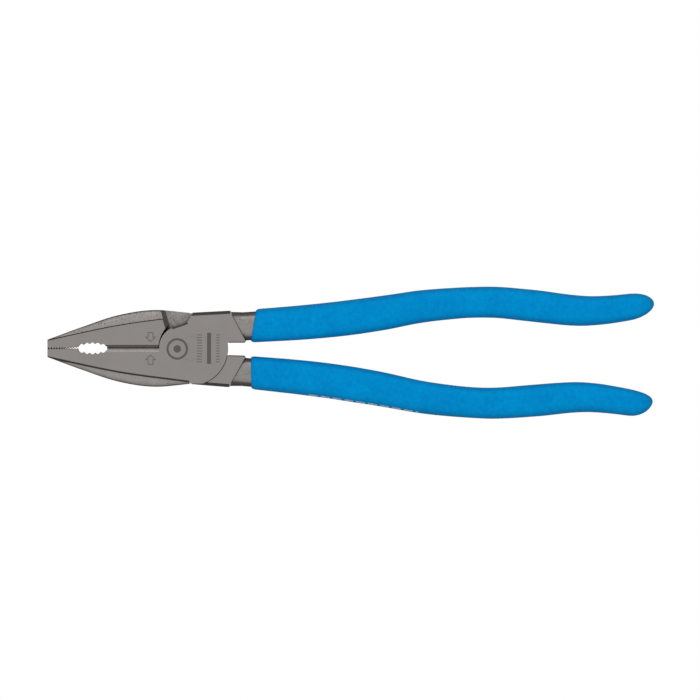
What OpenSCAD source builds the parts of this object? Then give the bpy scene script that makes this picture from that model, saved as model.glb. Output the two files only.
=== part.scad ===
// Lineman (combination) pliers, closed and lying flat.
// The origin is where the rivet axis meets the back face. The jaws point to -X,
// the handles to +X, and +Z is the marked front face.
// Both halves are one forging: the rear half is the front half turned over
// about the X axis, so each has a full-thickness jaw and handle with a
// half-thickness plate between them. They are drawn about the middle of the
// thickness, and lifted into place as the last step.

/* [Head] */
// Distance from the rivet axis to the tip of the jaws
jaw_length = 53.1; // [51:0.1:55]
// Width of the closed head at its widest place
head_width = 28.5; // [27.5:0.1:29.5]
// Width of the closed jaws at the tip
tip_width = 6.5; // [6.2:0.1:7]
// Thickness of the head between its ground faces
head_thickness = 12; // [11:0.1:13]
// Thickness of the jaws at the tip
tip_thickness = 9.8; // [9:0.1:10.6]

/* [Joint] */
// Diameter of the rivet shank
rivet_d = 8; // [7:0.1:8.4]
// Diameter of the flush rivet head at the ground face
rivet_head_d = 8.8; // [8.6:0.1:9]
// Radius of the half-thickness plate about the rivet
plate_r = 13.8; // [13.6:0.1:14]
// Radial running clearance between the rivet and the half that turns on it
running_gap = 0.03; // [0.02:0.01:0.09]
// Clearance between the two plates
lap_gap = 0.04; // [0.02:0.01:0.08]
// Clearance between a plate's edge and the wall it sweeps
edge_gap = 0.25; // [0.2:0.05:0.4]

/* [Jaw faces] */
// Length of the serrated gripping faces behind the tip
grip_face_length = 11.3; // [10:0.1:12]
// Pitch of the gripping serrations
tooth_pitch = 1.0; // [0.8:0.1:1.2]
// Depth of the gripping serrations
tooth_depth = 0.4; // [0.3:0.05:0.5]
// Length of the toothed hole for pipes and nuts
pipe_hole_length = 10.5; // [10:0.1:11.4]
// Half height of the toothed hole at its middle teeth
pipe_hole_reach = 1.7; // [1.5:0.05:1.9]
// Number of scallops along each side of the toothed hole
scallops = 5; // [4:1:6]
// Width of each cutting bevel on the ground face
cutter_bevel = 1.3; // [1.1:0.05:1.5]

/* [Handles] */
// Distance from the rivet axis to the end of the grips
handle_reach = 172.2; // [165:0.1:178]
// Extra opening of the rear half's handle, in degrees
rear_splay = 1.65; // [1:0.05:2]
// Thickness of the grips at their thickest place
grip_thickness = 11.8; // [11.4:0.1:12.4]
// Thickness of the dipped coat over the handle
coat = 0.9; // [0.8:0.1:1.2]
// Distance from the rivet axis to the mouth of the upper grip
upper_mouth = 23.3; // [23:0.1:24]
// Distance from the rivet axis to the mouth of the lower grip
lower_mouth = 22.6; // [22.4:0.1:23.4]

/* [Hidden] */

steel = [0.56, 0.54, 0.53];
blue = [0.05, 0.53, 0.79];
round_fn = 96;

half_t = head_thickness / 2;
lap_z = lap_gap / 2;
// Longer than anything that is cut
far = 40;

// Disc beside the jaws, and the wall behind the jaws that it sweeps
disc_at = [-3.6, 0.3];
disc_r = 8;
jaw_wall_r = disc_r - disc_at[0] + 0.3;
// Flat that the round plate edge stops at, and the wall that the edge sweeps
plate_low = 13.05;
block_wall_r = plate_r + edge_gap;
// Length of the rivet's tapered heads, and how much larger it is than its press-fit bore
rivet_flare = 1.2;
press = 0.02;

// Half outline of the closed jaws: [x, distance from the parting line]
half_head = head_width / 2;
outline_keys = [
    [-jaw_length, tip_width / 2],
    [-0.76 * jaw_length, 0.557 * half_head],
    [-0.51 * jaw_length, 0.862 * half_head],
    [-0.26 * jaw_length, half_head],
    [-0.008 * jaw_length, 0.928 * half_head]
];
// Outer edge of the ground face of a jaw, which bows slightly outwards
ridge_keys = [
    [-jaw_length, tip_width / 2 - 0.4],
    [-0.5 * jaw_length, 0.59 * half_head],
    [-0.01 * jaw_length, 0.84 * half_head]
];
jaw_end_x = -0.5;
jaw_stations = 26;
// Step from the ground face down to the forged flank: its depth, and its run on
// the plate side and on the recess side
ridge_step = 0.8;
plate_side_run = 0.7;
recess_side_run = 0.35;
// Half height of the vertical side, and the flank's fall before it rounds over
side_wall = 3.2;
flank_fall = 0.3;
flank_steps = 7;

// Where the gripping faces, the toothed hole and the cutters meet
hole_tip_x = -jaw_length + grip_face_length;
hole_root_x = hole_tip_x + pipe_hole_length;
hole_lip = 0.3;
closed_gap = 0.02;
grip_gap = 0.3;
scallop_depth = 0.55;
hole_bow = 0.95;
cutter_depth = 1.1;
cutter_land = 0.3;

// Handle centre line and half width, and half thickness as a share of the grip's:
// [x as a share of handle_reach, value]
centre_keys = [
    [0.08, 7.75], [0.279, 10.2], [0.42, 13.25], [0.5, 15.65],
    [0.64, 17.25], [0.74, 15.8], [0.86, 13.85], [1, 16.55]
];
width_keys = [
    [0.08, 6.05], [0.36, 6.6], [0.6, 5.75], [0.76, 6.0], [0.88, 5.4], [1, 4.7]
];
depth_keys = [[0.08, 0.97], [0.3, 1], [0.7, 0.97], [1, 0.88]];
// Rounded section and end of a grip
grip_squareness = 3.4;
dome_length = 9;
dome_power = 2;
ring_points = 28;
// Forged shank inside a grip, with drafted sides and a flare at the block
tang_start = 14.6;
tang_end = handle_reach - 4;
tang_squareness = 7;
tang_draft = 1.3;
draft_from = 0.55;
neck_flare = 0.6;
neck_length = 7;
// Clearance inside a grip, and the lip and lean of its mouth
fit_gap = 0.08;
lip = 0.55;
lean_length = 12;
upper_lean = 0.13;
lower_lean = 0.02;
lower_nose = -1.7;

// Full-thickness block at the root of the handle
block_left = 6.5;
block_top = [[0.7, 13.3], [14.4, 14.0]];
crotch_y = 2.1;
crotch_start = [12.8, crotch_y];
shoulder = [[-6.6, 7.7], [-1.4, 9.5], [0.7, 12.7]];
block_end = [[14.9, 13.8], [15.7, 12.4], [20.6, 3.1], [20.1, crotch_y]];
block_left_top = block_top[0] + (block_left - block_top[0][0])
    / (block_top[1][0] - block_top[0][0]) * (block_top[1] - block_top[0]);
// Chamfers: [width, depth]
outer_chamfer = [1.2, 4];
end_chamfer = [0.35, 1.4];
shoulder_chamfer = [0.6, 1.6];
lap_chamfer = [0.6, 2];

// Engraved marks
mark_depth = 0.06;
mark_line = 0.35;
arrow_x = -14.8;
arrow_tip = 2.5;
ring_mark_at = [-4.9, -0.2];
ring_mark_r = 4;

// Slope of a smooth curve at one of its keys
function slope(keys, i) =
    let (a = max(i - 1, 0), b = min(i + 1, len(keys) - 1))
    (keys[b][1] - keys[a][1]) / (keys[b][0] - keys[a][0]);

// Number of the key that comes before x
function key_before(keys, x, i = 0) =
    i >= len(keys) - 2 || x < keys[i + 1][0] ? i : key_before(keys, x, i + 1);

// Value at x of the smooth curve through all the keys
function smooth(keys, x) =
    let (
        i = key_before(keys, x),
        h = keys[i + 1][0] - keys[i][0],
        u = (x - keys[i][0]) / h
    )
    (2 * u ^ 3 - 3 * u ^ 2 + 1) * keys[i][1]
    + (u ^ 3 - 2 * u ^ 2 + u) * h * slope(keys, i)
    + (3 * u ^ 2 - 2 * u ^ 3) * keys[i + 1][1]
    + (u ^ 3 - u ^ 2) * h * slope(keys, i + 1);

// Power that keeps the sign of its base
function signed_pow(v, p) = sign(v) * pow(abs(v), p);

// Solid through rings of equal point counts, each counter-clockwise seen from +X
module loft(rings) {
    n = len(rings[0]);
    last = len(rings) - 1;
    sides = [
        for (i = [0:last - 1], j = [0:n - 1])
            let (a = i * n + j, d = i * n + (j + 1) % n)
            each [[a, a + n, d + n], [a, d + n, d]]
    ];
    caps = [
        [for (j = [0:n - 1]) j],
        [for (j = [n - 1:-1:0]) last * n + j]
    ];
    polyhedron(points = [for (ring = rings) each ring], faces = concat(sides, caps));
}

// ---- Jaw -------------------------------------------------------------------

// Half thickness of a jaw: parallel over the cutters, then thinner to the tip
function jaw_half_t(x) =
    x > hole_root_x ? half_t
    : half_t - (half_t - tip_thickness / 2) * (hole_root_x - x) / (hole_root_x + jaw_length);

// Half of a flank's section, from the foot of the step to the side wall:
// a shallow slope that rounds over at its outer edge
function flank(foot, out, top) =
    [
        for (i = [0:flank_steps])
            let (share = 1 - pow(1 - i / flank_steps, 2))
            [-foot - (out - foot) * share,
             side_wall + (top - flank_fall * share - side_wall) * pow(1 - pow(share, 4), 1 / 4)]
    ];

// Cross-section of a jaw: ground faces with a step down to each forged flank
function jaw_ring(x) =
    let (
        t = jaw_half_t(x),
        out = smooth(outline_keys, x),
        ridge = smooth(ridge_keys, x),
        room = min(1, out - ridge),
        top = t - ridge_step * room,
        upper = flank(ridge + plate_side_run * room, out, top),
        lower = flank(ridge + recess_side_run * room, out, top)
    )
    concat(
        [[x, tooth_depth, -t], [x, tooth_depth, t], [x, -ridge, t]],
        [for (i = [0:flank_steps]) [x, upper[i][0], upper[i][1]]],
        [for (i = [flank_steps:-1:0]) [x, lower[i][0], -lower[i][1]]],
        [[x, -ridge, -t]]
    );

// Teeth of the gripping face, at both ends of which a tooth starts
teeth = floor(grip_face_length / tooth_pitch);
function tooth_x(i) = -jaw_length + i / teeth * (grip_face_length - hole_lip);

// Plan of what is cut from the parting line: the gripping face, whose teeth mesh
// with the other half's (side 1 or -1), and the toothed hole. The gap that opens
// towards the hole is mostly in the half with side -1.
module jaw_mouth(side) {
    pitch = pipe_hole_length / scallops;
    steps = 6;
    gap = grip_gap * (1 - side / 2);
    serrations = [
        for (i = [0:2 * teeth])
            let (share = i / (2 * teeth), crest = i % 2 == 0 ? 1 : -1)
            [tooth_x(i / 2), -closed_gap - gap * share ^ 2 + side * crest * tooth_depth / 2]
    ];
    hole = [
        for (i = [0:scallops - 1], k = [0:steps])
            let (along = i + k / steps, off_middle = 2 * along / scallops - 1)
            [hole_tip_x + pitch * along,
             -pipe_hole_reach + hole_bow * off_middle ^ 2 - scallop_depth * sin(180 * k / steps)]
    ];
    linear_extrude(height = 2 * far, center = true)
    polygon(concat(
        [[-far - jaw_length, 1], [-far - jaw_length, serrations[0][1]]],
        serrations,
        [[hole_tip_x, -gap]],
        hole,
        [[hole_root_x + hole_lip, -pipe_hole_reach + hole_bow], [hole_root_x + hole_lip, 1]]
    ));
}

// Steep pits where the grooves between the teeth run out at the ground face
module tooth_pits() {
    pit_depth = 1.4;
    for (i = [0.5:teeth - 1])
        translate([tooth_x(i), 0, jaw_half_t(tooth_x(i)) - pit_depth])
            cylinder(r1 = 0, r2 = 2 * tooth_depth, h = 2 * pit_depth, $fn = 4);
}

// Bevels that leave a cutting edge in the middle of the thickness
module cutter_cut() {
    start = hole_root_x - 1;
    bevel_z = half_t - cutter_depth;
    spread = (cutter_bevel - cutter_land) / cutter_depth;
    profile = [
        [1, -half_t - 1], [1, half_t + 1],
        [-cutter_bevel - spread, half_t + 1],
        [-cutter_land, bevel_z], [-closed_gap, 0], [-cutter_land, -bevel_z],
        [-cutter_bevel - spread, -half_t - 1]
    ];
    loft([for (x = [start, -disc_r]) [for (p = profile) [x, p[0], p[1]]]]);
}

// Room behind a jaw for the other half's plate, with a drafted end wall
module plate_recess() {
    inner_y = -7;
    outer_y = -15.5;
    // Corners of the end wall: foot at the plate, and top above the ground face
    foot = [[-7.35, inner_y], [-9.9, outer_y], [far, outer_y], [far, inner_y]];
    top = [[-9.2, inner_y], [-12.0, outer_y], [far, outer_y], [far, inner_y]];
    translate([0, 0, lap_z - far])
        cylinder(r = jaw_wall_r, h = far, $fn = round_fn);
    polyhedron(
        concat(
            [for (p = foot) [p[0], p[1], lap_z]],
            [for (p = top) [p[0], p[1], -half_t - 0.1]]
        ),
        [
            [3, 2, 1, 0], [4, 5, 6, 7],
            [0, 1, 5], [0, 5, 4], [1, 2, 6, 5], [2, 3, 7, 6], [3, 0, 4, 7]
        ]
    );
}

module jaw(side) {
    difference() {
        loft([
            for (i = [0:jaw_stations])
                jaw_ring(-jaw_length + (jaw_end_x + jaw_length) * i / jaw_stations)
        ]);
        jaw_mouth(side);
        cutter_cut();
        plate_recess();
        for (face = [0, 1]) mirror([0, 0, face]) {
            tooth_pits();
            engraved() arrow();
        }
    }
}

// ---- Plate and handle root ---------------------------------------------------

// Plan of the half-thickness plate: the disc beside the jaws, the round edge
// about the rivet, and the neck that leads to the handle
module plate_plan(splay) {
    translate(disc_at) circle(r = disc_r, $fn = round_fn);
    intersection() {
        circle(r = plate_r, $fn = round_fn);
        translate([jaw_end_x, -plate_low]) square([far, plate_low + crotch_y]);
    }
    translate([-disc_r, -0.8 * plate_r]) square([disc_r, 0.9 * plate_r]);
    rotate(splay) polygon(concat(
        [[shoulder[0][0], -1]], shoulder, block_top, block_end, [crotch_start, [0, -1]]
    ));
}

// Full-thickness root of the handle, cut away where the other plate sweeps
module block() {
    difference() {
        translate([0, 0, -half_t]) linear_extrude(height = 1.5 * half_t)
            polygon(concat(
                [[block_left, 2 * crotch_y], block_left_top],
                [block_top[1]], block_end, [crotch_start]
            ));
        translate([0, 0, lap_z - far])
            cylinder(r = block_wall_r, h = far, $fn = round_fn);
    }
}

// Cutter that chamfers an edge of a face that looks to +Z. The edge runs from a
// to b with the body on its right, and size is the chamfer's [width, depth].
module edge_chamfer(a, b, size, face_z = half_t) {
    along = b - a;
    spare = 0.3;
    translate([a[0], a[1], face_z])
        rotate([0, 0, atan2(along[1], along[0])])
        loft([
            for (x = [-spare, norm(along) + spare])
                [[x, -2 * size[0], size[1]], [x, size[0], -2 * size[1]], [x, far, size[1]]]
        ]);
}

// Chamfers along the outer edge, the end and the crotch of the block
module block_chamfers(top_from) {
    clear_of_plate = [block_wall_r + 0.5, crotch_y];
    edge_chamfer(top_from, block_top[1], outer_chamfer);
    edge_chamfer(block_end[1], block_end[2], end_chamfer);
    edge_chamfer(block_end[3], clear_of_plate, end_chamfer);
}

// ---- Handle --------------------------------------------------------------

function handle_x(keys) = [for (k = keys) [k[0] * handle_reach, k[1]]];
function handle_centre(x) = smooth(handle_x(centre_keys), x);

// Shrink of a grip's section towards its rounded end, from 1 to 0
function dome(x, end) =
    let (u = max(0, (x - end + dome_length) / dome_length))
    pow(max(0, 1 - pow(u, dome_power)), 1 / dome_power);

// Rounded section inset from the grip's surface. Its sides are drafted inwards
// above draft_from, a share of the half thickness, and it leans forward by a share
// of the distance from its centre.
function handle_ring(x, inset, end, square, draft = 0, lean = 0) =
    [
        for (j = [0:ring_points - 1])
            let (
                a = 360 * (j + 0.5) / ring_points,
                across = signed_pow(cos(a), 2 / square),
                up = signed_pow(sin(a), 2 / square),
                at = x + lean * across * smooth(handle_x(width_keys), x),
                wide = smooth(handle_x(width_keys), at) - inset,
                deep = grip_thickness / 2 * smooth(handle_x(depth_keys), at) - inset,
                drafted = draft * max(0, abs(up) - draft_from) / (1 - draft_from),
                shrink = dome(at, end)
            )
            [at,
             handle_centre(at) + shrink * (wide * across - drafted * sign(across)),
             shrink * deep * up]
    ];

// Places along a handle, closer together towards its rounded end
function stations(from, end, count = 30) =
    let (body_end = end - dome_length)
    concat(
        [for (i = [0:count - 1]) from + (body_end - from) * i / count],
        [for (a = [0:15:75]) body_end + dome_length * sin(a)],
        [end - 0.02]
    );

// Forged shank inside the grip, squarer than the coat around it, which flares
// where it leaves the block
module tang() {
    loft([
        for (x = stations(tang_start, tang_end))
            let (flare = neck_flare * max(0, 1 - (x - tang_start) / neck_length) ^ 2)
            handle_ring(x, coat - flare, tang_end, tang_squareness, tang_draft)
    ]);
}

// Dipped coat: a closed sock around the tang, with a rounded lip at its mouth
// and a domed nose that may be set off to one side
module grip(mouth, mouth_lean, nose_shift) {
    function lean(x) = mouth_lean * max(0, 1 - (x - mouth) / lean_length);
    hollow = [
        for (x = concat([mouth], stations(tang_start, tang_end)))
            if (x == mouth || x > mouth + 1)
                handle_ring(x, coat - fit_gap, tang_end, tang_squareness, tang_draft, lean(x))
    ];
    mouth_lip = [
        for (a = [0:30:90])
            let (x = mouth + lip * (1 - cos(a)))
            handle_ring(x, lip * (1 - sin(a)), handle_reach, grip_squareness, 0, lean(x))
    ];
    outside = [
        for (x = stations(mouth + 2, handle_reach))
            let (into_dome = max(0, 1 - (handle_reach - x) / dome_length))
            [
                for (p = handle_ring(x, 0, handle_reach, grip_squareness, 0, lean(x)))
                    p + [0, nose_shift * into_dome ^ 2, 0]
            ]
    ];
    loft(concat(
        [for (i = [len(hollow) - 1:-1:0]) hollow[i]],
        mouth_lip,
        outside
    ));
}

// ---- Marks ---------------------------------------------------------------

// Shallow cutter that engraves a flat drawing into the +Z ground face
module engraved() {
    translate([0, 0, half_t - mark_depth]) linear_extrude(height = 1) children();
}

// Straight strokes of one width along a run of points
module strokes(points, width) {
    for (i = [0:len(points) - 2]) {
        along = points[i + 1] - points[i];
        translate(points[i])
            rotate(atan2(along[1], along[0]))
            translate([-width / 2, -width / 2])
            square([norm(along) + width, width]);
    }
}

// Outlined arrow that points at the cutting edges
module arrow() {
    head = 1.8;
    shaft = 0.9;
    shaft_top = arrow_tip + 1.7;
    base = arrow_tip + 3.4;
    strokes([
        for (p = [[0, arrow_tip], [head, shaft_top], [shaft, shaft_top], [shaft, base],
                  [-shaft, base], [-shaft, shaft_top], [-head, shaft_top], [0, arrow_tip]])
            [arrow_x + p[0], -p[1]]
    ], mark_line);
}

// Plain ring with a dot, and a bar between two rows of ticks. They run over the
// plate and the flush rivet alike.
module face_marks() {
    bar_at = 6.9;
    bar_length = 10;
    tick_rows = [[3.3, 1.5], [10.2, 1.0]];
    translate(ring_mark_at) {
        difference() {
            circle(r = ring_mark_r, $fn = round_fn);
            circle(r = ring_mark_r - 0.8, $fn = round_fn);
        }
        circle(r = 1.4, $fn = round_fn);
    }
    strokes([[bar_at, -bar_length / 2], [bar_at, bar_length / 2]], 1.5);
    for (row = tick_rows, y = [-5:1:5])
        strokes([[row[0] - row[1] / 2, y], [row[0] + row[1] / 2, y]], mark_line);
}

// ---- Pieces --------------------------------------------------------------

// One forged half, with the jaw below and the handle above the X axis
module half(side, splay, bore_r) {
    difference() {
        union() {
            jaw(side);
            difference() {
                union() {
                    translate([0, 0, lap_z])
                        linear_extrude(height = half_t - lap_z) plate_plan(splay);
                    rotate([0, 0, splay]) block();
                }
                rotate([0, 0, splay]) {
                    edge_chamfer(shoulder[0], shoulder[1], shoulder_chamfer);
                    block_chamfers(block_top[0]);
                    mirror([0, 0, 1]) {
                        block_chamfers(block_left_top);
                        edge_chamfer(block_top[0], block_left_top - [0.3, 0], lap_chamfer, -lap_z);
                    }
                }
            }
            rotate([0, 0, splay]) tang();
        }
        rivet_hole(bore_r);
    }
}

// Bore with a countersink in the ground face for the rivet's flush head
module rivet_hole(bore_r) {
    head_r = rivet_head_d / 2 + running_gap;
    rotate_extrude($fn = round_fn) polygon([
        [0, -far], [bore_r, -far], [bore_r, half_t - rivet_flare],
        [head_r, half_t], [head_r, half_t + 1], [0, half_t + 1]
    ]);
}

module front_half() {
    color(steel) translate([0, 0, half_t]) difference() {
        half(1, 0, rivet_d / 2 - press);
        engraved() face_marks();
    }
}

module rear_half() {
    color(steel) translate([0, 0, half_t])
        rotate([180, 0, 0]) half(-1, rear_splay, rivet_d / 2 + running_gap);
}

module rivet() {
    color(steel) translate([0, 0, half_t]) difference() {
        rotate_extrude($fn = round_fn)
            polygon([
                [0, -half_t], [rivet_head_d / 2, -half_t],
                [rivet_d / 2, -half_t + rivet_flare], [rivet_d / 2, half_t - rivet_flare],
                [rivet_head_d / 2, half_t], [0, half_t]
            ]);
        engraved() face_marks();
    }
}

module upper_grip() {
    color(blue) translate([0, 0, half_t]) grip(upper_mouth, upper_lean, 0);
}

module lower_grip() {
    color(blue) translate([0, 0, half_t])
        rotate([180, 0, 0]) rotate([0, 0, rear_splay])
        grip(lower_mouth, lower_lean, lower_nose);
}

front_half();
rear_half();
rivet();
upper_grip();
lower_grip();
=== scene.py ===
"""Lineman pliers: the CAD frame's steel with rounded edges, its finishes and painted light and shade,
and dipped vinyl grips.

Lengths are in metres, in the CAD frame: the origin is the rivet axis on the back face, the jaws
point to -X, the handles to +X, and +Z is the marked front face.
"""

import math

import bmesh
import bpy
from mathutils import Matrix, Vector, noise
from mathutils.bvhtree import BVHTree


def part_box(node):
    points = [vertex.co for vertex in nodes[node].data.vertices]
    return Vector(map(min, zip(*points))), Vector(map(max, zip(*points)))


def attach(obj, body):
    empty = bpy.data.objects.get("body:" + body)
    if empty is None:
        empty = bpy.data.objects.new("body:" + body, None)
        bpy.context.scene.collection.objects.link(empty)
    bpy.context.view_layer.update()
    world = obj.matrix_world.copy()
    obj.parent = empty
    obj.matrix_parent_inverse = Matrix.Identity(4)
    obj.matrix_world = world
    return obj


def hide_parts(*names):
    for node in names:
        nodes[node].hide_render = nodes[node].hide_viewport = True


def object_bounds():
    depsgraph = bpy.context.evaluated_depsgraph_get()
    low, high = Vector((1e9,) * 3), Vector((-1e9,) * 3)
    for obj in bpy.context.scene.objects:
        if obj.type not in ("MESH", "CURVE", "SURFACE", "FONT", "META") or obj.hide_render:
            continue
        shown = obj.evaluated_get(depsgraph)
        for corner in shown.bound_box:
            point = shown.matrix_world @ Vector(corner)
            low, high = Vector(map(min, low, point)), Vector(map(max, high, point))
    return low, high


MM = 0.001

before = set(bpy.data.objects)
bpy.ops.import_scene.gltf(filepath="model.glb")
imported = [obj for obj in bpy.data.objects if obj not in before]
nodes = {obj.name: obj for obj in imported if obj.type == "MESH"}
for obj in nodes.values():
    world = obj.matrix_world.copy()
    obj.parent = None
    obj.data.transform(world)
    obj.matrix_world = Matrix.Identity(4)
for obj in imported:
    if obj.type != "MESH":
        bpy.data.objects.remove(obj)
bpy.context.view_layer.update()
cad_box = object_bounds()
half_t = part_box("rivet")[1].z / 2


# ---- Node material helpers ----------------------------------------------------


class Shader:
    """A node material with its principled shader and short ways to add what feeds it."""

    def __init__(self, name):
        self.material = bpy.data.materials.new(name)
        self.material.use_nodes = True
        self.tree = self.material.node_tree
        self.bsdf = self.tree.nodes["Principled BSDF"]
        self.position = self.tree.nodes.new("ShaderNodeTexCoord").outputs["Object"]

    def node(self, kind, **inputs):
        made = self.tree.nodes.new(kind)
        for name, value in inputs.items():
            self.feed(made.inputs[name.replace("_", " ")], value)
        return made

    def feed(self, socket, value):
        if isinstance(value, bpy.types.NodeSocket):
            self.tree.links.new(value, socket)
        else:
            socket.default_value = value

    def set(self, **inputs):
        for name, value in inputs.items():
            self.feed(self.bsdf.inputs[name.replace("_", " ")], value)

    def stretched(self, scale):
        mapping = self.node("ShaderNodeMapping", Vector=self.position, Scale=scale)
        return mapping.outputs["Vector"]

    def noise(self, size, detail=3.0, roughness=0.5, vector=None):
        """Noise whose features are about size metres across."""
        made = self.node(
            "ShaderNodeTexNoise",
            Vector=vector or self.position,
            Scale=1.0 / size,
            Detail=detail,
            Roughness=roughness,
        )
        return made.outputs["Fac"]

    def ramp(self, factor, *stops):
        """Maps factor through (place, value) stops, where a value is a grey level or a colour."""
        made = self.node("ShaderNodeValToRGB", Fac=factor)
        ramp = made.color_ramp
        while len(ramp.elements) < len(stops):
            ramp.elements.new(0.5)
        for element, (place, value) in zip(ramp.elements, stops):
            element.position = place
            colour = value if isinstance(value, tuple) else (value, value, value)
            element.color = (*colour, 1.0)
        return made.outputs["Color"]

    def mix(self, factor, a, b, mode="MIX"):
        made = self.node("ShaderNodeMix")
        made.data_type = "RGBA"
        made.blend_type = mode
        self.feed(made.inputs["Factor"], factor)
        self.feed(made.inputs["A"], a if not isinstance(a, tuple) else (*a, 1.0))
        self.feed(made.inputs["B"], b if not isinstance(b, tuple) else (*b, 1.0))
        return made.outputs["Result"]

    def paint_crevice_shade(self, tone, reach=3 * MM):
        """The tone with painted shade, fading to full dark in corners and gaps narrower than reach.
        """
        made = self.node("ShaderNodeAmbientOcclusion", Distance=reach)
        return self.mix(self.ramp(made.outputs["AO"], (0.25, 0.0), (0.65, 1.0)), (0, 0, 0), tone)

    def bump(self, height, depth, under=None):
        """Bump of the given depth in metres, laid over another bump if one is given."""
        made = self.node("ShaderNodeBump", Height=height, Distance=depth, Strength=1.0)
        if under is not None:
            self.feed(made.inputs["Normal"], under)
        return made.outputs["Normal"]


# ---- Materials -------------------------------------------------------------------


def ground_steel():
    """Finely ground faces of the head: even satin, with a faint grain and sparse dark specks."""
    s = Shader("ground_steel")
    cloud = s.noise(9 * MM, detail=3)
    speck = s.noise(0.45 * MM, detail=4, roughness=0.6)
    grain = s.noise(0.8 * MM, detail=3, vector=s.stretched((7.0, 0.5, 1.0)))
    tone = s.mix(s.ramp(cloud, (0.3, 0.0), (0.7, 1.0)), (0.270, 0.251, 0.239), (0.296, 0.275, 0.262))
    tone = s.mix(s.ramp(speck, (0.62, 0.0), (0.74, 0.35)), tone, (0.17, 0.155, 0.148))
    # Corners and gaps get painted shade in the base colour.
    s.set(
        Base_Color=s.paint_crevice_shade(tone),
        Metallic=1.0,
        Roughness=s.ramp(cloud, (0.3, 0.44), (0.7, 0.5)),
        Normal=s.bump(grain, 0.004 * MM, under=s.bump(speck, 0.008 * MM)),
    )
    return s.material


def scaled_steel(name, dark, light, pit_depth):
    """Skin of the forging, uneven and pitted to pit_depth."""
    s = Shader(name)
    cloud = s.noise(3 * MM, detail=5, roughness=0.6)
    pit = s.noise(0.7 * MM, detail=5, roughness=0.62)
    wave = s.noise(2.4 * MM, detail=2)
    tone = s.mix(s.ramp(pit, (0.3, 0.0), (0.46, 1.0)), dark, light)
    tone = s.mix(0.15, tone, s.ramp(cloud, (0.3, 0.3), (0.7, 0.7)), "OVERLAY")
    # Corners and gaps get painted shade in the base colour.
    s.set(
        Base_Color=s.paint_crevice_shade(tone),
        Metallic=1.0,
        Roughness=s.ramp(pit, (0.3, 0.62), (0.7, 0.5)),
        Normal=s.bump(pit, pit_depth, under=s.bump(wave, 2 * pit_depth)),
    )
    return s.material


def cut_steel(name, dark, light):
    """Milled walls and cutting bevels: smoother than the forging."""
    s = Shader(name)
    mill = s.noise(0.5 * MM, detail=2, vector=s.stretched((1.0, 1.0, 0.2)))
    s.set(
        Base_Color=s.mix(mill, dark, light),
        Metallic=0.3,
        Roughness=s.ramp(mill, (0.3, 0.4), (0.7, 0.52)),
        Normal=s.bump(mill, 0.01 * MM),
    )
    return s.material


def painted_wall_shade_steel(name, dark, light):
    """Steep walls whose dark tone is painted shade, set for each copy by which way its walls face."""
    s = Shader(name)
    grit = s.noise(0.5 * MM, detail=4)
    s.set(
        Base_Color=s.mix(grit, dark, light),
        Metallic=1.0,
        Roughness=0.6,
        Normal=s.bump(grit, 0.03 * MM),
    )
    return s.material


def etched_steel(name, dark, light):
    """Floors of the laser marks: matt and darker than the ground face."""
    s = Shader(name)
    grit = s.noise(0.25 * MM, detail=3)
    s.set(
        Base_Color=s.mix(grit, dark, light),
        Metallic=0.8,
        Roughness=0.65,
        Normal=s.bump(grit, 0.02 * MM),
    )
    return s.material


def dipped_vinyl():
    """Satin blue vinyl with the faint ripple and mottle that dipping leaves."""
    s = Shader("dipped_vinyl")
    ripple = s.noise(9 * MM, detail=3)
    mottle = s.noise(1.6 * MM, detail=4, roughness=0.6)
    skin = s.noise(0.25 * MM, detail=2)
    tone = s.mix(s.ramp(ripple, (0.3, 0.0), (0.7, 1.0)), (0.0, 0.262, 0.635), (0.0, 0.295, 0.69))
    tone = s.mix(0.12, tone, s.ramp(mottle, (0.3, 0.0), (0.7, 1.0)), "OVERLAY")
    s.set(
        Base_Color=tone,
        Roughness=s.ramp(mottle, (0.3, 0.46), (0.7, 0.56)),
        IOR=1.5,
        Specular_Tint=(0.02, 0.45, 1.0, 1.0),
        Normal=s.bump(skin, 0.006 * MM, under=s.bump(mottle, 0.03 * MM)),
    )
    return s.material


def grip_print():
    """Worn pale ink on the grip."""
    s = Shader("grip_print")
    wear = s.noise(0.5 * MM, detail=3)
    s.set(
        Base_Color=s.mix(s.ramp(wear, (0.45, 0.0), (0.6, 1.0)), (0.25, 0.5, 0.75), (0.8, 0.86, 0.9)),
        Roughness=0.6,
    )
    return s.material


# ---- Steel halves ------------------------------------------------------------------

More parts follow.
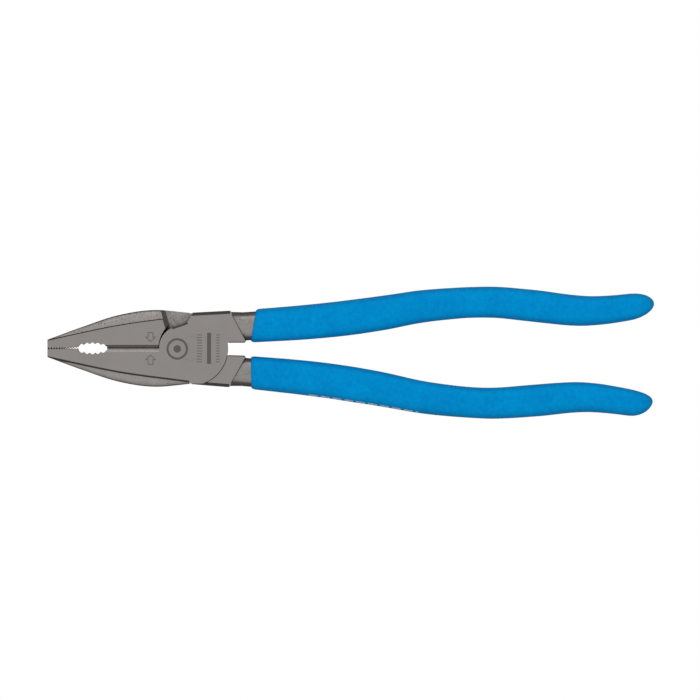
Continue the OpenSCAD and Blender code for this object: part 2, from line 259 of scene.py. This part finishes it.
STEELS = {
    "ground": ground_steel(),
    "smooth": scaled_steel("smooth_forging", (0.29, 0.271, 0.26), (0.36, 0.338, 0.325), 0.008 * MM),
    "neck": scaled_steel("neck_forging", (0.23, 0.214, 0.203), (0.31, 0.291, 0.279), 0.012 * MM),
    "rough": scaled_steel("pitted_forging", (0.16, 0.148, 0.142), (0.34, 0.318, 0.306), 0.03 * MM),
    # Painted shade: the dark teeth seen between the closed jaws.
    "teeth": scaled_steel("gripping_teeth_shade", (0.08, 0.074, 0.07), (0.2, 0.185, 0.177), 0.02 * MM),
    # Painted light on the front half's cutting bevels, which face the light, and painted shade on the
    # rear half's.
    "lit_cut": cut_steel("painted_light_cut_steel", (0.54, 0.502, 0.481), (0.67, 0.627, 0.602)),
    "shaded_cut": cut_steel("painted_shade_cut_steel", (0.10, 0.092, 0.088), (0.145, 0.134, 0.128)),
    # Painted shade on the jaws' end walls, lighter than on walls that face along y.
    "drafted": painted_wall_shade_steel("drafted_wall_steel", (0.19, 0.176, 0.168), (0.36, 0.335, 0.32)),
    # Painted shade on the sloping walls of the step along the jaws' ridge.
    "ridge": painted_wall_shade_steel("ridge_steel", (0.09, 0.083, 0.078), (0.19, 0.176, 0.168)),
    # Painted shade on steep walls and on the tang's rounded edges.
    "steep_shade": painted_wall_shade_steel("painted_wall_shade_steel", (0.12, 0.11, 0.104), (0.26, 0.24, 0.23)),
    # Painted shadow: near full dark, for the pits between the jaws and the step's steepest walls.
    "shadow_black": painted_wall_shade_steel("painted_shadow_steel", (0.012, 0.011, 0.01), (0.035, 0.032, 0.03)),
    "etched": etched_steel("etched_steel", (0.12, 0.108, 0.103), (0.17, 0.155, 0.148)),
    "faint": etched_steel("faint_mark_steel", (0.17, 0.155, 0.148), (0.23, 0.212, 0.203)),
}
KINDS = list(STEELS)

# Places along X, from the tip of the jaws to the neck behind the head
GRIP_FACE_END_X = -42 * MM
MARKS_START_X = -20 * MM
JAW_ROOT_X = -8 * MM
JAW_END_X = 0
NECK_START_X = 14.5 * MM
RING_MARK_X = (-9.5 * MM, 0)
BAR_MARK_X = (6 * MM, 8 * MM)

# Reach of the mouth's walls and of the teeth from the parting line
MOUTH_REACH = 3.2 * MM
TOOTH_REACH = 0.9 * MM

# Parts of a half with z above this lie on the side of its plate
PLATE_SIDE_Z = 1 * MM

# Depths below the ground face, which TIP_DROP lowers at the tips of the jaws
GROUND_DEPTH = 0.02 * MM
MARK_DEPTH = 0.1 * MM
RIDGE_DEPTH = 0.8 * MM
PIT_DEPTH = 1 * MM
TIP_DROP = 1.1 * MM
TAPER_DEPTH = TIP_DROP + 0.2 * MM

# Z part of the normals of faces that count as level, sloping or steep
LEVEL = 0.9985
SLOPING = 0.9
STEEP = 0.55

WELD_DISTANCE = 0.002 * MM
FLAT_ANGLE = math.radians(0.3)
EDGE_RADIUS = 0.16 * MM
SHORTEST_ROUNDED = 0.3 * MM
CORNER_ANGLE = math.radians(32)
BEND_ANGLE = math.radians(1)


def own_view(point, turned):
    """The point about the middle of the thickness, as the half that isn't turned over has it."""
    z = point.z - half_t
    return Vector((point.x, -point.y, -z)) if turned else Vector((point.x, point.y, z))


def steel_kind(centre, normal, turned):
    """Which finish or painted light and shade a face of a half gets, from its place and direction in
    its own view.
    """
    depth = half_t - abs(centre.z)
    upright = abs(normal.z)
    level = upright > LEVEL
    on_jaw = centre.x < JAW_ROOT_X
    if level and depth < GROUND_DEPTH:
        return "ground"
    if level and depth < MARK_DEPTH and centre.x > MARKS_START_X:
        return "etched" if is_bold_mark(centre) else "faint"
    if level and on_jaw and depth < TAPER_DEPTH:
        return "ground"
    # Teeth between the closed jaws get painted shade, full dark near the face.
    if centre.x < GRIP_FACE_END_X and abs(centre.y) < TOOTH_REACH:
        return "shadow_black" if depth < taper_drop(centre.x) + PIT_DEPTH else "teeth"
    # The cutting bevels: painted light on the front half, painted shade on the rear half.
    if on_jaw and centre.x > GRIP_FACE_END_X and abs(centre.y) < MOUTH_REACH:
        return "shaded_cut" if turned else "lit_cut"
    # The step's sloping walls get painted shade, near full dark where steepest.
    on_step = centre.x < JAW_END_X and depth < taper_drop(centre.x) + RIDGE_DEPTH
    if on_step and upright < SLOPING:
        return "ridge" if upright > STEEP else "shadow_black"
    # End walls that face along x get a lighter painted shade.
    if on_jaw and abs(normal.x) > max(abs(normal.y), upright):
        return "drafted"
    on_neck = centre.x > NECK_START_X
    # Other steep walls, and the tang's rounded edges, get painted shade.
    if upright < (SLOPING if on_neck else STEEP):
        return "steep_shade"
    if on_neck:
        return "neck"
    return "smooth" if centre.z > PLATE_SIDE_Z and on_jaw else "rough"


def taper_drop(x):
    """How far, at most, the jaws' ground face ahead of the marks lies below the head's at x."""
    return TIP_DROP * max(0.0, MARKS_START_X - x) / (MARKS_START_X - cad_box[0].x)


def is_bold_mark(centre):
    """Whether a mark is the ring or the bar, and not a tick or an arrow."""
    return RING_MARK_X[0] < centre.x < RING_MARK_X[1] or BAR_MARK_X[0] < centre.x < BAR_MARK_X[1]


def is_mark(face):
    """Whether a face belongs to an engraved mark, whose edges stay crisp."""
    depths = [half_t - abs(v.co.z - half_t) for v in face.verts]
    return GROUND_DEPTH < max(depths) < MARK_DEPTH


def is_crease(edge, turned):
    """Whether an edge is shaded sharp: a corner, or any edge of a ground face, which stays flat."""
    if not edge.is_manifold:
        return True
    angle = edge.calc_face_angle()
    kinds = {
        steel_kind(own_view(f.calc_center_median(), turned), f.normal, turned)
        for f in edge.link_faces
    }
    return angle > CORNER_ANGLE or ("ground" in kinds and angle > BEND_ANGLE)


def rounded_half(node, body):
    """A welded copy of a CAD half, with its hard edges rounded, a finish on each face, and painted
    light and shade on its walls and bevels.
    """
    turned = body == "rear"
    source = nodes[node].data
    mesh = bpy.data.meshes.new(node + "_steel")
    mesh.from_pydata([v.co for v in source.vertices], [], [p.vertices for p in source.polygons])
    bm = bmesh.new()
    bm.from_mesh(mesh)
    bmesh.ops.remove_doubles(bm, verts=bm.verts, dist=WELD_DISTANCE)
    bmesh.ops.dissolve_limit(bm, angle_limit=FLAT_ANGLE, verts=bm.verts, edges=bm.edges)
    hard = [
        e
        for e in bm.edges
        if e.is_manifold
        and e.calc_face_angle() > CORNER_ANGLE
        and e.calc_length() > SHORTEST_ROUNDED
        and not any(is_mark(f) for f in e.link_faces)
    ]
    bmesh.ops.bevel(
        bm, geom=hard, offset=EDGE_RADIUS, segments=2, profile=0.5, affect="EDGES", clamp_overlap=True
    )
    bm.normal_update()
    for edge in bm.edges:
        edge.smooth = not is_crease(edge, turned)
    bm.to_mesh(mesh)
    bm.free()
    for kind in KINDS:
        mesh.materials.append(STEELS[kind])
    for face in mesh.polygons:
        centre = own_view(face.center, turned)
        face.material_index = KINDS.index(steel_kind(centre, face.normal, turned))
        face.use_smooth = True
    half = bpy.data.objects.new(node + "_steel", mesh)
    bpy.context.scene.collection.objects.link(half)
    half.modifiers.new("normals", "WEIGHTED_NORMAL").keep_sharp = True
    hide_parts(node)
    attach(half, body)


def finish_rivet():
    """Puts the steel finishes, with their painted light and shade, on the CAD rivet, whose ends are
    ground with the halves.
    """
    mesh = nodes["rivet"].data
    mesh.materials.clear()
    for kind in KINDS:
        mesh.materials.append(STEELS[kind])
    for face in mesh.polygons:
        centre = own_view(face.center, False)
        face.material_index = KINDS.index(steel_kind(centre, face.normal, False))


rounded_half("front_half", "front")
rounded_half("rear_half", "rear")
finish_rivet()

# ---- Grips ---------------------------------------------------------------------------

VINYL = dipped_vinyl()
PRINT = grip_print()
# Powers of the rounded sections, outside and inside
OUTER_SQUARE = 3.4
INNER_SQUARE = 4
RING_POINTS = 72
STATION_PITCH = 1.1 * MM
SMOOTHING_PASSES = 12
DOME_LENGTH = 9 * MM
SKIN = 0.96 * MM
LIP_LENGTH = 1.5 * MM
LIP_MIDDLE = 0.75 * SKIN
LEAN_LENGTH = 12 * MM
LIP_ANGLES = range(-60, 91, 15)
DOME_ANGLES = range(0, 86, 5)
# The inside has every sixth station of the outside, and stops before the dome
INNER_STRIDE = 6
INNER_STOP = 1.3 * DOME_LENGTH
# Where the measuring rays start: clear of the mouth's lip, and well outside the grip
LIP_CLEARANCE = 4 * MM
MOUTH_CLEARANCE = 0.5 * MM
FAR_OUT = 100 * MM
RIPPLE_SIZE = 7 * MM
RIPPLE_HEIGHT = 0.05 * MM


class GripShape:
    """A CAD grip's centre line and half sizes along x, measured with rays."""

    def __init__(self, node):
        mesh = nodes[node].data
        self.tree = BVHTree.FromPolygons(
            [v.co for v in mesh.vertices], [p.vertices for p in mesh.polygons]
        )
        low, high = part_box(node)
        self.end = high.x
        self.side = 1 if low.y > 0 else -1
        start = low.x + LIP_CLEARANCE
        body_end = self.end - DOME_LENGTH
        count = round((body_end - start) / STATION_PITCH)
        body = [start + (body_end - start) * i / count for i in range(count)]
        dome = [body_end + DOME_LENGTH * math.sin(math.radians(a)) for a in DOME_ANGLES]
        self.xs = body + dome
        sections = [self.section(x) for x in self.xs]
        for _ in range(SMOOTHING_PASSES):
            sections = [
                (a + 2 * b + c) / 4 if i < count else b
                for i, (a, b, c) in enumerate(zip(sections, sections[1:], sections[2:]), 1)
            ]
            sections = [self.section(self.xs[0])] + sections + [self.section(self.xs[-1])]
        self.sections = sections
        self.mouth, self.lean = self.find_mouth(low.x)

    def hit(self, start, direction):
        return self.tree.ray_cast(Vector(start), Vector(direction))[0]

    def section(self, x):
        """Centre y, half width and half thickness of the outside at x."""
        top = self.hit((x, FAR_OUT, half_t), (0, -1, 0))
        bottom = self.hit((x, -FAR_OUT, half_t), (0, 1, 0))
        middle = (top.y + bottom.y) / 2
        face = self.hit((x, middle, FAR_OUT), (0, 0, -1))
        return Vector((middle, (top.y - bottom.y) / 2, face.z - half_t))

    def find_mouth(self, low_x):
        """Where the mouth crosses the centre line, and how far it leans per metre of y."""
        middle, wide, _ = self.sections[0]
        reach = wide - MOUTH_CLEARANCE
        start_x = low_x - MOUTH_CLEARANCE
        upper = self.hit((start_x, middle + reach, half_t), (1, 0, 0))
        lower = self.hit((start_x, middle - reach, half_t), (1, 0, 0))
        return (upper.x + lower.x) / 2, (upper.x - lower.x) / (upper.y - lower.y)

    def at(self, x):
        """Section at any x, carried on in a straight line before the first station."""
        i = 1
        while i < len(self.xs) - 1 and self.xs[i] < x:
            i += 1
        share = (x - self.xs[i - 1]) / (self.xs[i] - self.xs[i - 1])
        return self.sections[i - 1].lerp(self.sections[i], min(share, 1.0))


def signed_power(value, power):
    """The size of value raised to power, with the sign of value."""
    return math.copysign(abs(value) ** power, value)


def grip_ring(shape, x, inset, square):
    """Points around the grip at x, inset from its outside, leaning near the mouth."""
    lean = shape.lean * max(0.0, 1 - (x - shape.mouth) / LEAN_LENGTH)
    points = []
    for j in range(RING_POINTS):
        angle = 2 * math.pi * (j + 0.5) / RING_POINTS
        across = signed_power(math.cos(angle), 2 / square)
        up = signed_power(math.sin(angle), 2 / square)
        place = x + lean * across * shape.at(x)[1]
        middle, wide, deep = shape.at(place)
        point = Vector((place, middle + (wide - inset) * across, half_t + (deep - inset) * up))
        outward = Vector((0, across, up)).normalized()
        ripple = RIPPLE_HEIGHT * noise.noise(point / RIPPLE_SIZE) if inset <= 0 else 0.0
        points.append(point + outward * ripple)
    return points


def lip_place(mouth, angle):
    """Place and inset on the mouth's rounded lip, from the inside (-90 degrees) to the outside."""
    inward = angle < 0
    length = LIP_LENGTH / 3 if inward else LIP_LENGTH
    depth = SKIN - LIP_MIDDLE if inward else LIP_MIDDLE
    return mouth + length * (1 - math.cos(angle)), LIP_MIDDLE - depth * math.sin(angle)


def closed_tube(rings, end_x):
    """Points, edges and faces of a skin over the rings, closed at the last one's tip at end_x."""
    points = [p for ring in rings for p in ring]
    faces = []
    for i in range(len(rings) - 1):
        for j in range(RING_POINTS):
            a = i * RING_POINTS + j
            b = i * RING_POINTS + (j + 1) % RING_POINTS
            faces.append((a, b, b + RING_POINTS, a + RING_POINTS))
    inner_middle = sum(rings[0], Vector()) / RING_POINTS
    tip = sum(rings[-1], Vector()) / RING_POINTS
    tip.x = end_x
    last = (len(rings) - 1) * RING_POINTS
    for j in range(RING_POINTS):
        after = (j + 1) % RING_POINTS
        faces.append((after, j, len(points)))
        faces.append((last + j, last + after, len(points) + 1))
    return points + [inner_middle, tip], [], faces


def build_grip(name, node, body, printed=False):
    """Closed skin of a grip: inside, rounded lip, outside and domed end."""
    shape = GripShape(node)
    lip = [lip_place(shape.mouth, math.radians(a)) for a in LIP_ANGLES]
    inner_xs = [x for x in shape.xs[::INNER_STRIDE] if x < shape.end - INNER_STOP]
    rings = [grip_ring(shape, x, SKIN, INNER_SQUARE) for x in reversed(inner_xs)]
    rings += [grip_ring(shape, x, inset, OUTER_SQUARE) for x, inset in lip]
    lead = lip[-1][0] + STATION_PITCH / 2
    body_xs = [x for x in shape.xs if x > lead]
    while lead < body_xs[0] - STATION_PITCH / 2:
        rings.append(grip_ring(shape, lead, 0, OUTER_SQUARE))
        lead += STATION_PITCH
    rings += [grip_ring(shape, x, 0, OUTER_SQUARE) for x in body_xs]

    mesh = bpy.data.meshes.new(name)
    mesh.from_pydata(*closed_tube(rings, shape.end))
    mesh.materials.append(VINYL)
    mesh.materials.append(PRINT)
    for face in mesh.polygons:
        face.use_smooth = True
        if printed and is_print(face.center, shape):
            face.material_index = 1
    grip = bpy.data.objects.new(name, mesh)
    bpy.context.scene.collection.objects.link(grip)
    smooth = grip.modifiers.new("smooth", "SUBSURF")
    smooth.levels = 1
    smooth.render_levels = 1
    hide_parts(node)
    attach(grip, body)


PRINT_FROM = 43 * MM
PRINT_TO = 85 * MM
PRINT_LEVEL = (2.3 * MM, 4.2 * MM)
PRINT_OUTWARD = 0.8
DASH_PITCH = 4 * STATION_PITCH
DASH_LENGTH = 0.7 * DASH_PITCH


def is_print(centre, shape):
    """Whether a face of the outside is under one of the dashes on the grip's outer edge."""
    if not PRINT_FROM < centre.x < PRINT_TO:
        return False
    middle, wide, _ = shape.at(centre.x)
    outer = (centre.y - middle) * shape.side > PRINT_OUTWARD * wide
    in_line = PRINT_LEVEL[0] < centre.z - half_t < PRINT_LEVEL[1]
    return outer and in_line and centre.x % DASH_PITCH < DASH_LENGTH


build_grip("upper_grip_skin", "upper_grip", "front")
build_grip("lower_grip_skin", "lower_grip", "rear", printed=True)

# ---- Stage, light and camera ---------------------------------------------------------


FLOOR_GAP = 0.1 * MM
HORIZON_STRENGTH = 0.2
ZENITH_STRENGTH = 1.05
FRAME_SPAN = 260.12 * MM
FRAME_SHIFT = Vector((-0.35 * MM, -0.6 * MM, 0))


def white_floor():
    """Pale floor that the camera sees as a clean white sweep, and the steel as a dim table."""
    reach = 3.0
    z = cad_box[0].z - FLOOR_GAP
    corners = [(-reach, -reach, z), (reach, -reach, z), (reach, reach, z), (-reach, reach, z)]
    mesh = bpy.data.meshes.new("floor")
    mesh.from_pydata(corners, [], [(0, 1, 2, 3)])
    floor = bpy.data.objects.new("floor", mesh)
    bpy.context.scene.collection.objects.link(floor)
    s = Shader("floor")
    s.set(Base_Color=(0.2, 0.2, 0.2, 1.0), Roughness=0.9)
    glow = s.node("ShaderNodeEmission", Color=(1, 1, 1, 1), Strength=1.0)
    seen = s.node("ShaderNodeLightPath").outputs["Is Camera Ray"]
    blend = s.node("ShaderNodeMixShader", Fac=seen)
    s.feed(blend.inputs[1], s.bsdf.outputs[0])
    s.feed(blend.inputs[2], glow.outputs[0])
    s.feed(s.tree.nodes["Material Output"].inputs["Surface"], blend.outputs[0])
    mesh.materials.append(s.material)


def studio_world():
    """Soft dome, bright overhead and dark at the horizon, with a white backdrop for the camera."""
    world = bpy.data.worlds.new("studio")
    world.use_nodes = True
    bpy.context.scene.world = world
    tree = world.node_tree
    make = tree.nodes.new
    link = tree.links.new
    geometry = make("ShaderNodeNewGeometry")
    split = make("ShaderNodeSeparateXYZ")
    link(geometry.outputs["Incoming"], split.inputs[0])
    strength = make("ShaderNodeMapRange")
    link(split.outputs["Z"], strength.inputs["Value"])
    strength.inputs["From Min"].default_value = -0.1
    strength.inputs["From Max"].default_value = -1.0
    strength.inputs["To Min"].default_value = HORIZON_STRENGTH
    strength.inputs["To Max"].default_value = ZENITH_STRENGTH
    dome = tree.nodes["Background"]
    dome.inputs["Color"].default_value = (1.0, 1.0, 1.0, 1.0)
    link(strength.outputs["Result"], dome.inputs["Strength"])
    backdrop = make("ShaderNodeBackground")
    backdrop.inputs["Color"].default_value = (1.0, 1.0, 1.0, 1.0)
    path = make("ShaderNodeLightPath")
    mix = make("ShaderNodeMixShader")
    link(path.outputs["Is Camera Ray"], mix.inputs[0])
    link(dome.outputs[0], mix.inputs[1])
    link(backdrop.outputs[0], mix.inputs[2])
    link(mix.outputs[0], tree.nodes["World Output"].inputs["Surface"])


def soft_light(name, place, size, power):
    """Round area light at place, aimed at the origin."""
    light = bpy.data.lights.new(name, "AREA")
    light.shape = "DISK"
    light.size = size
    light.energy = power
    lamp = bpy.data.objects.new(name, light)
    bpy.context.scene.collection.objects.link(lamp)
    lamp.location = place
    lamp.rotation_mode = "QUATERNION"
    lamp.rotation_quaternion = (-Vector(place)).to_track_quat("-Z", "Y")


def top_camera():
    """Long lens straight above, so that the tool spans most of the frame's width."""
    lens = 500.0
    sensor = 36.0
    middle_x = (cad_box[0].x + cad_box[1].x) / 2
    aim = Vector((middle_x, 0, half_t)) + FRAME_SHIFT
    data = bpy.data.cameras.new("camera")
    data.lens = lens
    data.sensor_width = sensor
    data.clip_end = 100.0
    camera = bpy.data.objects.new("camera", data)
    bpy.context.scene.collection.objects.link(camera)
    camera.location = aim + Vector((0, 0, FRAME_SPAN * lens / sensor))
    bpy.context.scene.camera = camera


white_floor()
studio_world()
soft_light("key_light", (0.05, 1.3, 1.4), 0.9, 6.0)
top_camera()
bpy.context.scene.view_settings.view_transform = "Standard"
